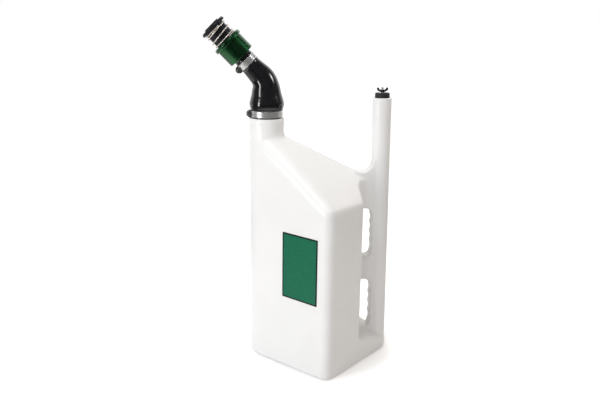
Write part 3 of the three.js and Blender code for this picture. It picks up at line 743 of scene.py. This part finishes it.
def trued_up(bm):
    """Brings the relaxed neck and handle back to their true radius."""
    into_handle = HANDLE_FRAME.inverted()
    handle_side_x = 0.09
    handle_foot_z, handle_free_z = 0.42, 0.45
    neck_foot_z, neck_free_z = 0.484, 0.489
    for vert in bm.verts:
        if vert.co.x > handle_side_x and vert.co.z > handle_foot_z:
            share = smoothstep(vert.co.z, handle_foot_z, handle_free_z)
            own = into_handle @ vert.co
            reach = math.hypot(own.x, own.y)
            if reach > 0.015:
                scale = 1 + share * (HANDLE_R * MM / reach - 1)
                own.x *= scale
                own.y *= scale
                vert.co = HANDLE_FRAME @ own
        elif vert.co.x < 0 and vert.co.z > neck_foot_z:
            share = smoothstep(vert.co.z, neck_foot_z, neck_free_z)
            out = Vector((vert.co.x - NECK_X * MM, vert.co.y))
            if out.length > 0.030:
                out *= 1 + share * ((NECK_R - 0.7) * MM / out.length - 1)
                vert.co.x = NECK_X * MM + out.x
                vert.co.y = out.y


class BuildTank(bpy.types.Operator):
    """Build the moulded tank with its neck and the top of its vent handle"""

    bl_idname = "jug.build_tank"
    bl_label = "Tank"

    def execute(self, context):
        sizes = context.scene.jug_sizes
        skin = relaxed(outer_skin(), sizes.skin_grain, sizes.skin_softness)
        if len(skin.verts) < 1000:
            raise RuntimeError("the tank's skin didn't remesh")
        trued_up(skin)
        tank = ("jug", "jug_body", ["plastic"])
        piece("moulded_tank", skin, *tank, ["jug_body"], sharp=180)
        stem = NECK_R - 0.62
        rim = NECK_R + 0.1
        neck = [
            (stem - 1.2, 486), (stem, 489), (stem, 499), (rim, 501.2),
            (rim, NECK_RIM_Z), (SPIGOT_R, NECK_RIM_Z), (SPIGOT_R, SPIGOT_TOP_Z - 14),
            (SPIGOT_R + 1.4, SPIGOT_TOP_Z - 8), (SPIGOT_R - 1, SPIGOT_TOP_Z),
            (SPIGOT_BORE_R, SPIGOT_TOP_Z), (SPIGOT_BORE_R, 507), (31.0, 502), (31.0, 486),
        ]
        neck = spun(softened(neck, 1.3), WIDE_SIDES)
        piece("neck_rim", neck, *tank, place=NECK_FRAME)
        skin_r = HANDLE_R + 0.05
        vent = [
            (HANDLE_R - 0.6, 490), (skin_r, 493), (skin_r, HANDLE_TOP),
            (HANDLE_BORE_R, HANDLE_TOP), (HANDLE_BORE_R, 499), (0, 498.5), (0, 490),
        ]
        vent = spun(softened(vent, 1.2), HANDLE_SIDES)
        piece("handle_vent_rim", vent, *tank, place=HANDLE_FRAME)
        return {"FINISHED"}


class BuildLabel(bpy.types.Operator):
    """Build the bare green label with its dark edge"""

    bl_idname = "jug.build_label"
    bl_label = "Label"

    def execute(self, context):
        border = context.scene.jug_sizes.label_border / MM
        left, right, low, high = 118.0, 206.5, 156.5, 293.5
        edge = plate((left, -0.66, low), (right, -0.12, high), 1.4)
        film = plate(
            (left + border, -0.74, low + border), (right - border, -0.3, high - border), 0.5
        )
        for face in edge.faces:
            face.material_index = 1
        label = piece(
            "green_label",
            join_in(film, edge),
            "jug",
            "label",
            ["label", "label_edge"],
            ["front_label"],
            place=LABEL_FRAME,
            sharp=30,
        )
        rounded_edges(label, 0.05, segments=2)
        return {"FINISHED"}


def hose_frame(along):
    """The frame of the hose's section at a length along its middle line."""
    low = min(along, HOSE_STRAIGHT)
    turn = min(max((along - HOSE_STRAIGHT) / HOSE_BEND_R, 0), math.radians(HOSE_ANGLE))
    high = max(along - HOSE_STRAIGHT - HOSE_BEND_R * math.radians(HOSE_ANGLE), 0)
    x = NECK_X - HOSE_BEND_R * (1 - math.cos(turn)) - high * math.sin(turn)
    z = HOSE_BASE_Z + low + HOSE_BEND_R * math.sin(turn) + high * math.cos(turn)
    return Matrix.Translation((x, 0, z)) @ Matrix.Rotation(-turn, 4, "Y")


# The hose's outside radius at lengths along its middle line
HOSE_STATIONS = np.array(
    [
        [-6, HOSE_LOW_R], [0, HOSE_LOW_R], [8, HOSE_LOW_R], [14.5, HOSE_LOW_R + 0.6],
        [21, 34.0], [29, 35.0], [38, 33.0], [47, 30.5], [60, 28.2], [73, 25.8],
        [86, 23.8], [99, 22.0], [112, 20.4], [125, HOSE_HIGH_R],
        [HOSE_LENGTH, HOSE_HIGH_R], [HOSE_LENGTH + 6, HOSE_HIGH_R],
    ]
)


def hose_radius(along, squeeze):
    """The hose's outside radius: its moulded form, swollen beside each clamp band."""
    stations = HOSE_STATIONS
    at = int(np.searchsorted(stations[:, 0], along)) - 1
    at = min(max(at, 1), len(stations) - 3)
    (x0, r0), (x1, r1), (x2, r2), (x3, r3) = stations[at - 1 : at + 3]
    share = (along - x1) / (x2 - x1)
    slope_in = (r2 - r0) / (x2 - x0) * (x2 - x1)
    slope_out = (r3 - r1) / (x3 - x1) * (x2 - x1)
    radius = (
        (2 * share**3 - 3 * share**2 + 1) * r1
        + (share**3 - 2 * share**2 + share) * slope_in
        + (3 * share**2 - 2 * share**3) * r2
        + (share**3 - share**2) * slope_out
    )
    for middle in (CLAMP_FROM_LOW_END, HOSE_LENGTH - CLAMP_FROM_HIGH_END):
        beside = abs(along - middle) - BAND_WIDTH / 2
        swell = math.exp(-(((beside - 1.6) / 1.6) ** 2))
        radius += FIT_GAP * 0.8 if beside < 0 else 0
        radius += squeeze * swell if beside > 0 else 0
    return radius


class BuildHose(bpy.types.Operator):
    """Build the elbow hose, swept along its bend with its bulge and waist"""

    bl_idname = "jug.build_hose"
    bl_label = "Elbow hose"

    def execute(self, context):
        squeeze = context.scene.jug_sizes.clamp_squeeze / MM
        band_edges = [
            middle + side * BAND_WIDTH / 2 + nudge
            for middle in (CLAMP_FROM_LOW_END, HOSE_LENGTH - CLAMP_FROM_HIGH_END)
            for side in (-1, 1)
            for nudge in (-0.15, 0.15)
        ]
        stops = sorted({*np.linspace(0, HOSE_LENGTH, 130).tolist(), *band_edges})
        walls = [(0.0, -1.4), (0.0, -0.6), (0.25, -0.15)]
        walls += [(stop, 0.0) for stop in stops if 1.0 < stop < HOSE_LENGTH - 1.0]
        walls += [(HOSE_LENGTH - 0.25, -0.15), (HOSE_LENGTH, -0.6), (HOSE_LENGTH, -1.4)]
        walls += [(HOSE_LENGTH, -HOSE_WALL), (HOSE_LENGTH - 20, -HOSE_WALL)]
        sections = []
        for along, drop in walls:
            radius = hose_radius(along, squeeze) + drop
            beside = (along - HOSE_LEAN_AT) / HOSE_LEAN_SPAN
            inwards = -HOSE_LEAN * math.exp(-(beside**2))
            place = hose_frame(along) @ Matrix.Translation((inwards, 0, 0))
            sections.append(place @ Matrix.Diagonal((radius, radius, 1, 1)))
        bm = swept(sections, HOSE_SIDES)
        lie = bm.loops.layers.uv.new("lie")
        uv_radius = 25.0
        centre = Vector((NECK_X - HOSE_BEND_R, 0, HOSE_BASE_Z + HOSE_STRAIGHT))
        for face in bm.faces:
            middle = face.calc_center_median()
            for loop in face.loops:
                co = loop.vert.co
                tip = co - centre
                turn = min(max(math.atan2(tip.z, tip.x), 0), math.radians(HOSE_ANGLE))
                along = co.z - HOSE_BASE_Z
                if tip.z > 0:
                    past = tip.z * math.cos(turn) - tip.x * math.sin(turn)
                    along = HOSE_STRAIGHT + HOSE_BEND_R * turn + past
                into_section = hose_frame(along).inverted()
                own = into_section @ co
                own_middle = into_section @ middle
                angle = math.atan2(own.y, own.x)
                if abs(angle - math.atan2(own_middle.y, own_middle.x)) > math.pi:
                    angle += math.copysign(2 * math.pi, own_middle.y)
                loop[lie].uv = (angle * uv_radius * MM, along * MM)
        into_metres = Matrix.Identity(4)
        names = ("elbow_silicone", bm, "jug", "hose", ["hose"], ["elbow_hose"])
        piece(*names, place=into_metres, sharp=60)
        return {"FINISHED"}


def slotted_band(hose_r):
    """A clamp band with rolled edges, a slotted run and a plain tail lying over it."""
    inner = hose_r + FIT_GAP
    outer = inner + BAND_THICK
    half = BAND_WIDTH / 2
    rim = [
        (inner, -half + 0.5), (inner + 0.15, -half), (outer, -half),
        (outer + 0.12, -half + 0.5), (outer, -half + 1.2), (outer, -4.1),
        (outer, 4.1), (outer, half - 1.2), (outer + 0.12, half - 0.5),
        (outer, half), (inner + 0.15, half), (inner, half - 0.5),
    ]
    steps = 186
    bm = spun(rim, steps)
    slot_slope = math.tan(math.radians(9))
    for vert in bm.verts:
        vert.co = Matrix.Rotation(vert.co.z * slot_slope / outer, 3, "Z") @ vert.co
    slots = []
    for face in bm.faces:
        middle = face.calc_center_median()
        if abs(middle.z) > 0.5 or face.normal.xy.dot(middle.xy) < 0:
            continue
        turn = math.degrees(math.atan2(middle.y, middle.x))
        past_tail = (turn - BAND_TAIL_START - BAND_TAIL_SWEEP - 4) % 360
        at = int((turn % 360) / 360 * steps)
        if at % 3 == 0 and past_tail < 360 - BAND_TAIL_SWEEP - 26:
            slots.append(face)
    bmesh.ops.inset_individual(bm, faces=slots, thickness=0.12, depth=-0.5)
    lift = outer + 0.14
    strip = softened(ring_outline(lift, lift + 0.55, -half + 0.4, half - 0.4), 0.25)
    return join_in(bm, spun(strip, 90, BAND_TAIL_SWEEP, BAND_TAIL_START))


def saddle(hose_r):
    """The strap under a worm housing, which holds it to the band."""
    inner = hose_r + FIT_GAP + BAND_THICK + 0.05
    strap = softened(ring_outline(inner, inner + 1.3, -7.1, 7.1), 0.4)
    return spun(strap, 24, angle=36, start=162)


class BuildClamps(bpy.types.Operator):
    """Build the two worm-drive clamps, each with its band, housing and screw"""

    bl_idname = "jug.build_clamps"
    bl_label = "Hose clamps"

    def execute(self, context):
        clamps = (
            ("lower", HOSE_LOW_R, LOWER_CLAMP_FRAME, "lower_steel"),
            ("upper", HOSE_HIGH_R, UPPER_CLAMP_FRAME, "upper_steel"),
        )
        for side, hose_r, place, finish in clamps:
            piece(
                f"{side}_band",
                slotted_band(hose_r),
                "jug",
                "band_steel",
                [finish],
                [f"{side}_clamp_band"],
                place=place,
            )
            strap = saddle(hose_r)
            strap.transform(place @ Matrix.Scale(MM, 4))
            # The housing takes the band steel darkened as painted shade for its cavity.
            housing = piece(
                f"{side}_worm_housing",
                join_in(merged_copy(f"{side}_clamp_housing"), strap),
                "jug",
                "band_steel",
                ["housing_steel_painted_shade"],
                [f"{side}_clamp_housing"],
                sharp=50,
            )
            rounded_edges(housing, 0.45)
            screw = piece(
                f"{side}_worm_screw",
                merged_copy(f"{side}_clamp_screw"),
                f"{side}_screw",
                "screw_steel",
                ["screw_steel"],
                [f"{side}_clamp_screw"],
                sharp=50,
            )
            rounded_edges(screw, 0.25)
        return {"FINISHED"}


class BuildNozzle(bpy.types.Operator):
    """Build the nozzle's collar, gland, sliding sleeve, tip and valve"""

    bl_idname = "jug.build_nozzle"
    bl_label = "Filler nozzle"

    def execute(self, context):
        gland_low = 38.6
        head_top = 84.4
        collar = []
        for barb in (-26.0, -19.5, -13.0):
            collar += [(14.0, barb), (14.8, barb + 5.2)]
        collar += [
            (14.0, -6.5), (14.2, 0.3), (28.5, 0.3), (28.5, 33.7),
            (27.6, 34.2), (27.6, 35.3), (31.5, 35.3), (31.5, 40.7),
            (30.8, 41.2), (30.8, COLLAR_TOP), (26.6, COLLAR_TOP), (26.6, gland_low - 0.3),
            (23.6, gland_low - 0.3), (23.6, 11.0), (18.8, 11.0), (18.8, 7.0),
            (15.8, 7.0), (11.6, 1.0), (11.6, -26.0),
        ]
        gland = [
            (21.8, gland_low), (26.2, gland_low), (26.2, COLLAR_TOP), (21.8, COLLAR_TOP),
            (21.8, 42.1), (23.6, 42.1), (23.6, 39.8), (21.8, 39.8),
        ]
        sleeve = [
            (19.2, 34.6), (23.3, 34.6), (23.3, 38.3), (21.5, 38.3),
            (21.5, SLEEVE_REACH - 0.8), (20.7, SLEEVE_REACH), (17.9, SLEEVE_REACH),
            (17.9, SLEEVE_REACH - 3.0), (19.2, SLEEVE_REACH - 4.5),
        ]
        tip = [
            (21.6, TIP_RING_LOW), (26.4, TIP_RING_LOW), (27.3, TIP_RING_LOW + 0.9),
            (27.3, SLEEVE_REACH - 2.6), (25.0, SLEEVE_REACH), (21.6, SLEEVE_REACH),
        ]
        head = [
            (0.0, 76.8), (14.1, 76.8), (17.1, 78.0), (17.1, 79.45),
            (15.0, 79.45), (15.0, 81.55), (17.1, 81.55), (17.1, head_top),
            (13.1, head_top), (12.5, head_top - 1.2), (0.0, head_top - 1.2),
        ]
        stem = [
            (0.0, 1.5), (3.5, 1.5), (3.5, 11.0), (5.2, 11.0),
            (5.2, 14.0), (3.5, 15.0), (3.5, 76.5), (0.0, 76.5),
        ]
        black = ("black_metal", "black_metal")
        bright = ("screw_steel", "screw_steel")
        for row in (
            ("green_collar", collar, 0.9, "jug", "green_collar", "collar", "nozzle_collar"),
            ("gland", gland, 0.4, "jug", *black, "gland_ring"),
            ("sliding_sleeve", sleeve, 0.3, "sleeve", *black, "slide_sleeve"),
            ("tip_stop", tip, 0.6, "sleeve", *black, "tip_ring"),
            ("valve_disc", head, 0.5, "jug", *black, "valve_head"),
            ("valve_rod", stem, 0.4, "jug", *bright, "valve_stem"),
        ):
            turned_piece(*row, NOZZLE_FRAME, WIDE_SIDES)
        for node, finish in (
            ("gland_seal", "rubber"),
            ("valve_seal", "rubber"),
            ("stem_spider", "screw_steel"),
            ("stem_nut", "screw_steel"),
        ):
            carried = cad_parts[node]
            carried.data.materials.clear()
            carried.data.materials.append(FINISHES[finish])
        return {"FINISHED"}


class BuildSpring(bpy.types.Operator):
    """Build the return spring, wound between the collar and the tip"""

    bl_idname = "jug.build_spring"
    bl_label = "Return spring"

    def execute(self, context):
        sizes = context.scene.jug_sizes
        wire = sizes.spring_wire / MM
        turns = sizes.spring_turns
        low = COLLAR_TOP + 0.1 + wire
        high = TIP_RING_LOW - 0.1 - wire
        radius = 23.85
        closed = 2 * wire + 0.15
        pitch = (high - low - 2 * closed) / (turns - 2)
        steps = int(turns * 60)
        places = []
        for i in range(steps + 1):
            turned = turns * i / steps
            rising = min(max(turned - 1, 0), turns - 2)
            height = low + closed * (turned - rising) + pitch * rising
            angle = math.radians(SPRING_START + 360 * turned)
            places.append(
                Vector((radius * math.cos(angle), radius * math.sin(angle), height))
            )
        sections = []
        for i, place in enumerate(places):
            ahead = places[min(i + 1, steps)] - places[max(i - 1, 0)]
            ahead.normalize()
            out = Vector((place.x, place.y, 0)).normalized()
            side = ahead.cross(out).normalized()
            out = side.cross(ahead)
            turn = Matrix((out, side, ahead)).transposed().to_4x4()
            scale = Matrix.Diagonal((wire, wire, 1, 1))
            sections.append(Matrix.Translation(place) @ turn @ scale)
        bm = swept(sections, SPRING_SIDES)
        names = ("wound_spring", bm, "jug", "spring_steel", ["spring"], ["return_spring"])
        spring = piece(*names, place=NOZZLE_FRAME, sharp=60)
        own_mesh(spring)
        return {"FINISHED"}


class BuildVentPlug(bpy.types.Operator):
    """Build the expanding vent plug with its washers, stud and wing nut"""

    bl_idname = "jug.build_vent_plug"
    bl_label = "Vent plug"

    def execute(self, context):
        bore = 2.6
        plug = [
            (bore, PLUG_LOW), (14.2, PLUG_LOW), (15.05, PLUG_LOW + 1),
            (15.05, HANDLE_TOP - 0.4), (14.85, HANDLE_TOP + 0.6), (15.05, HANDLE_TOP + 1.6),
            (15.05, PLUG_TOP - 1.0), (14.0, PLUG_TOP), (bore, PLUG_TOP),
        ]
        top = ring_outline(bore, 11.0, PLUG_TOP + 0.3, PLUG_TOP + 1.5)
        bottom = ring_outline(bore, 13.5, PLUG_LOW - 1.5, PLUG_LOW - 0.3)
        head = PLUG_LOW - 1.8
        threads = []
        height = PLUG_TOP + 2.0
        while height < PLUG_TOP + 11.2:
            threads += [(2.3, height), (1.95, height + 0.4)]
            height += 0.8
        stud = [(0.0, head - 3), (4.6, head - 3), (4.6, head), (2.3, head)]
        stud += [*threads, (1.7, PLUG_TOP + 12), (0.0, PLUG_TOP + 12)]
        washer = ("plug", "band_steel", "handle_steel")
        for row in (
            ("vent_stopper", plug, 0.7, "plug", "black_rubber", "rubber", "vent_plug"),
            ("top_washer", top, 0.25, *washer, "plug_top_washer"),
            ("bottom_washer", bottom, 0.25, *washer, "plug_bottom_washer"),
            ("threaded_stud", stud, 0.15, "plug", "screw_steel", "handle_steel", "plug_stud"),
        ):
            turned_piece(*row, HANDLE_FRAME, PLUG_SIDES)
        nut = piece(
            "cast_wing_nut",
            merged_copy("wing_nut"),
            "nut",
            "black_metal",
            ["wing_metal"],
            ["wing_nut"],
            sharp=60,
        )
        rounded_edges(nut, 0.6, segments=4, angle=40)
        return {"FINISHED"}


def area_light(name, place, target, size, power, spread=180.0, seen_in_gloss=True):
    """A rectangular white softbox at place that faces target, gridded to spread degrees."""
    data = bpy.data.lights.new(name, "AREA")
    data.shape = "RECTANGLE"
    data.size, data.size_y = size
    data.energy = power
    data.spread = math.radians(spread)
    light = bpy.data.objects.new(name, data)
    light.location = place
    towards = Vector(target) - Vector(place)
    light.rotation_euler = towards.to_track_quat("-Z", "Y").to_euler()
    light.visible_camera = False
    light.visible_glossy = seen_in_gloss
    bpy.context.scene.collection.objects.link(light)


def ray_kinds(tree):
    """Sockets that are 1 for a camera ray, and for a reflected or refracted one."""
    path = tree.nodes.new("ShaderNodeLightPath").outputs
    bent = maths(tree, "MAXIMUM", path["Is Glossy Ray"], path["Is Transmission Ray"])
    return path["Is Camera Ray"], bent


def studio_world(scene):
    """White behind the object, dim on the camera's side, and warmer and darker to the right."""
    world = bpy.data.worlds.new("studio")
    scene.world = world
    world.use_nodes = True
    tree = world.node_tree
    parts = split(tree, tree.nodes.new("ShaderNodeTexCoord").outputs["Generated"])
    aside = maths(tree, "ADD", parts["X"], maths(tree, "MULTIPLY", parts["Y"], 0.4))
    rightward = mapped(tree, aside, -0.5, 1.0, 0.0, 1.0)
    soft = mixed(tree, rightward, (0.53, 0.53, 0.54), (0.31, 0.245, 0.175))
    behind = mapped(tree, parts["Y"], 0.1, 0.75, 0.0, 1.0)
    reflected = mixed(tree, behind, DIM, WHITE)
    camera, shiny = ray_kinds(tree)
    level = mixed(tree, camera, mixed(tree, shiny, soft, reflected), WHITE)
    tree.links.new(level, tree.nodes["Background"].inputs["Color"])


def studio_floor(scene):
    """A plain pale floor that reads as white, with the jug's soft shadow, and dim in front."""
    bm = bmesh.new()
    bmesh.ops.create_grid(bm, x_segments=1, y_segments=1, size=6.0)
    mesh = bpy.data.meshes.new("studio_floor")
    bm.to_mesh(mesh)
    bm.free()
    pale = (0.8, 0.8, 0.8)
    material, tree, shader, place = bare_material("studio_floor", pale, 0.9)
    shader.inputs["Specular IOR Level"].default_value = 0.0
    shader.inputs["Emission Strength"].default_value = 1.0
    parts = split(tree, place)
    camera, shiny = ray_kinds(tree)
    squares = squared_radius(tree, parts)
    near = mapped(tree, squares, 0.3, 1.2, 1.0, 0.0)
    behind = mapped(tree, parts["Y"], 0.35, 1.5, 0.0, 1.0)
    bright = maths(tree, "MAXIMUM", near, behind)
    reflected = mixed(tree, bright, DIM, pale)
    tree.links.new(mixed(tree, shiny, pale, reflected), shader.inputs["Base Color"])
    reflected_glow = mixed(tree, bright, BLACK, (0.55, 0.55, 0.55))
    away = mapped(tree, squares, 0.015, 0.045, 0.0, 1.0)
    seen_glow = mixed(tree, away, (0.25, 0.25, 0.25), (0.72, 0.72, 0.72))
    glow = mixed(tree, camera, mixed(tree, shiny, BLACK, reflected_glow), seen_glow)
    tree.links.new(glow, shader.inputs["Emission Color"])
    mesh.materials.append(material)
    floor = bpy.data.objects.new("studio_floor", mesh)
    scene.collection.objects.link(floor)


class BuildStage(bpy.types.Operator):
    """Set up the floor, the soft light and the camera at the photograph's angle"""

    bl_idname = "jug.build_stage"
    bl_label = "Stage"

    def execute(self, context):
        scene = context.scene
        scene.view_settings.view_transform = "Standard"
        studio_world(scene)
        studio_floor(scene)
        middle = (0, 0, 0.33)
        hose = (-0.12, 0, 0.55)
        nozzle = (-0.17, 0, 0.65)
        area_light("top_front", (-0.55, -0.95, 2.1), middle, (0.9, 0.9), 14)
        area_light("top_back", (0.3, 0.6, 2.3), middle, (1.6, 1.2), 14, seen_in_gloss=False)
        area_light("window_left", (-1.5, -0.9, 0.58), hose, (0.28, 1.1), 10)
        area_light("window_right", (1.35, -0.31, 1.53), nozzle, (0.9, 0.9), 0.5, spread=20)
        data = bpy.data.cameras.new("photo_camera")
        data.sensor_width = 36.0
        data.lens = 42.0547
        data.clip_end = 50.0
        camera = bpy.data.objects.new("photo_camera", data)
        right = (0.99483543, -0.10071037, 0.01264462)
        up = (0.01376062, 0.2572465, 0.96624784)
        forward = (0.10056396, 0.96108359, -0.25730377)
        turn = Matrix((right, up, [-part for part in forward])).transposed().to_4x4()
        place = Matrix.Translation((-0.188885, -1.412088, 0.713778))
        camera.matrix_world = place @ turn
        scene.collection.objects.link(camera)
        scene.camera = camera
        return {"FINISHED"}


BUILDERS = (
    BuildStage,
    BuildTank,
    BuildLabel,
    BuildHose,
    BuildClamps,
    BuildNozzle,
    BuildSpring,
    BuildVentPlug,
)


class JugPanel(bpy.types.Panel):
    """Lists the builders and what they read"""

    bl_idname = "VIEW3D_PT_fuel_jug"
    bl_label = "Fuel jug"
    bl_space_type = "VIEW_3D"
    bl_region_type = "UI"
    bl_category = "Fuel jug"

    def draw(self, context):
        column = self.layout.column()
        for group in (context.scene.jug_sizes, context.scene.jug_colours):
            for name in group.bl_rna.properties.keys():
                if name not in ("rna_type", "name"):
                    column.prop(group, name)
        for builder in BUILDERS:
            column.operator(builder.bl_idname)


CLASSES = (JugSizes, JugColours, *BUILDERS, JugPanel)


def register():
    for item in CLASSES:
        bpy.utils.register_class(item)
    bpy.types.Scene.jug_sizes = bpy.props.PointerProperty(type=JugSizes)
    bpy.types.Scene.jug_colours = bpy.props.PointerProperty(type=JugColours)


def unregister():
    del bpy.types.Scene.jug_sizes
    del bpy.types.Scene.jug_colours
    for item in reversed(CLASSES):
        bpy.utils.unregister_class(item)


def main():
    register()
    FINISHES.update(made_materials(bpy.context.scene.jug_colours))
    for builder in BUILDERS:
        group, action = builder.bl_idname.split(".")
        getattr(getattr(bpy.ops, group), action)()
    bpy.context.view_layer.update()


if __name__ == "__main__":
    main()
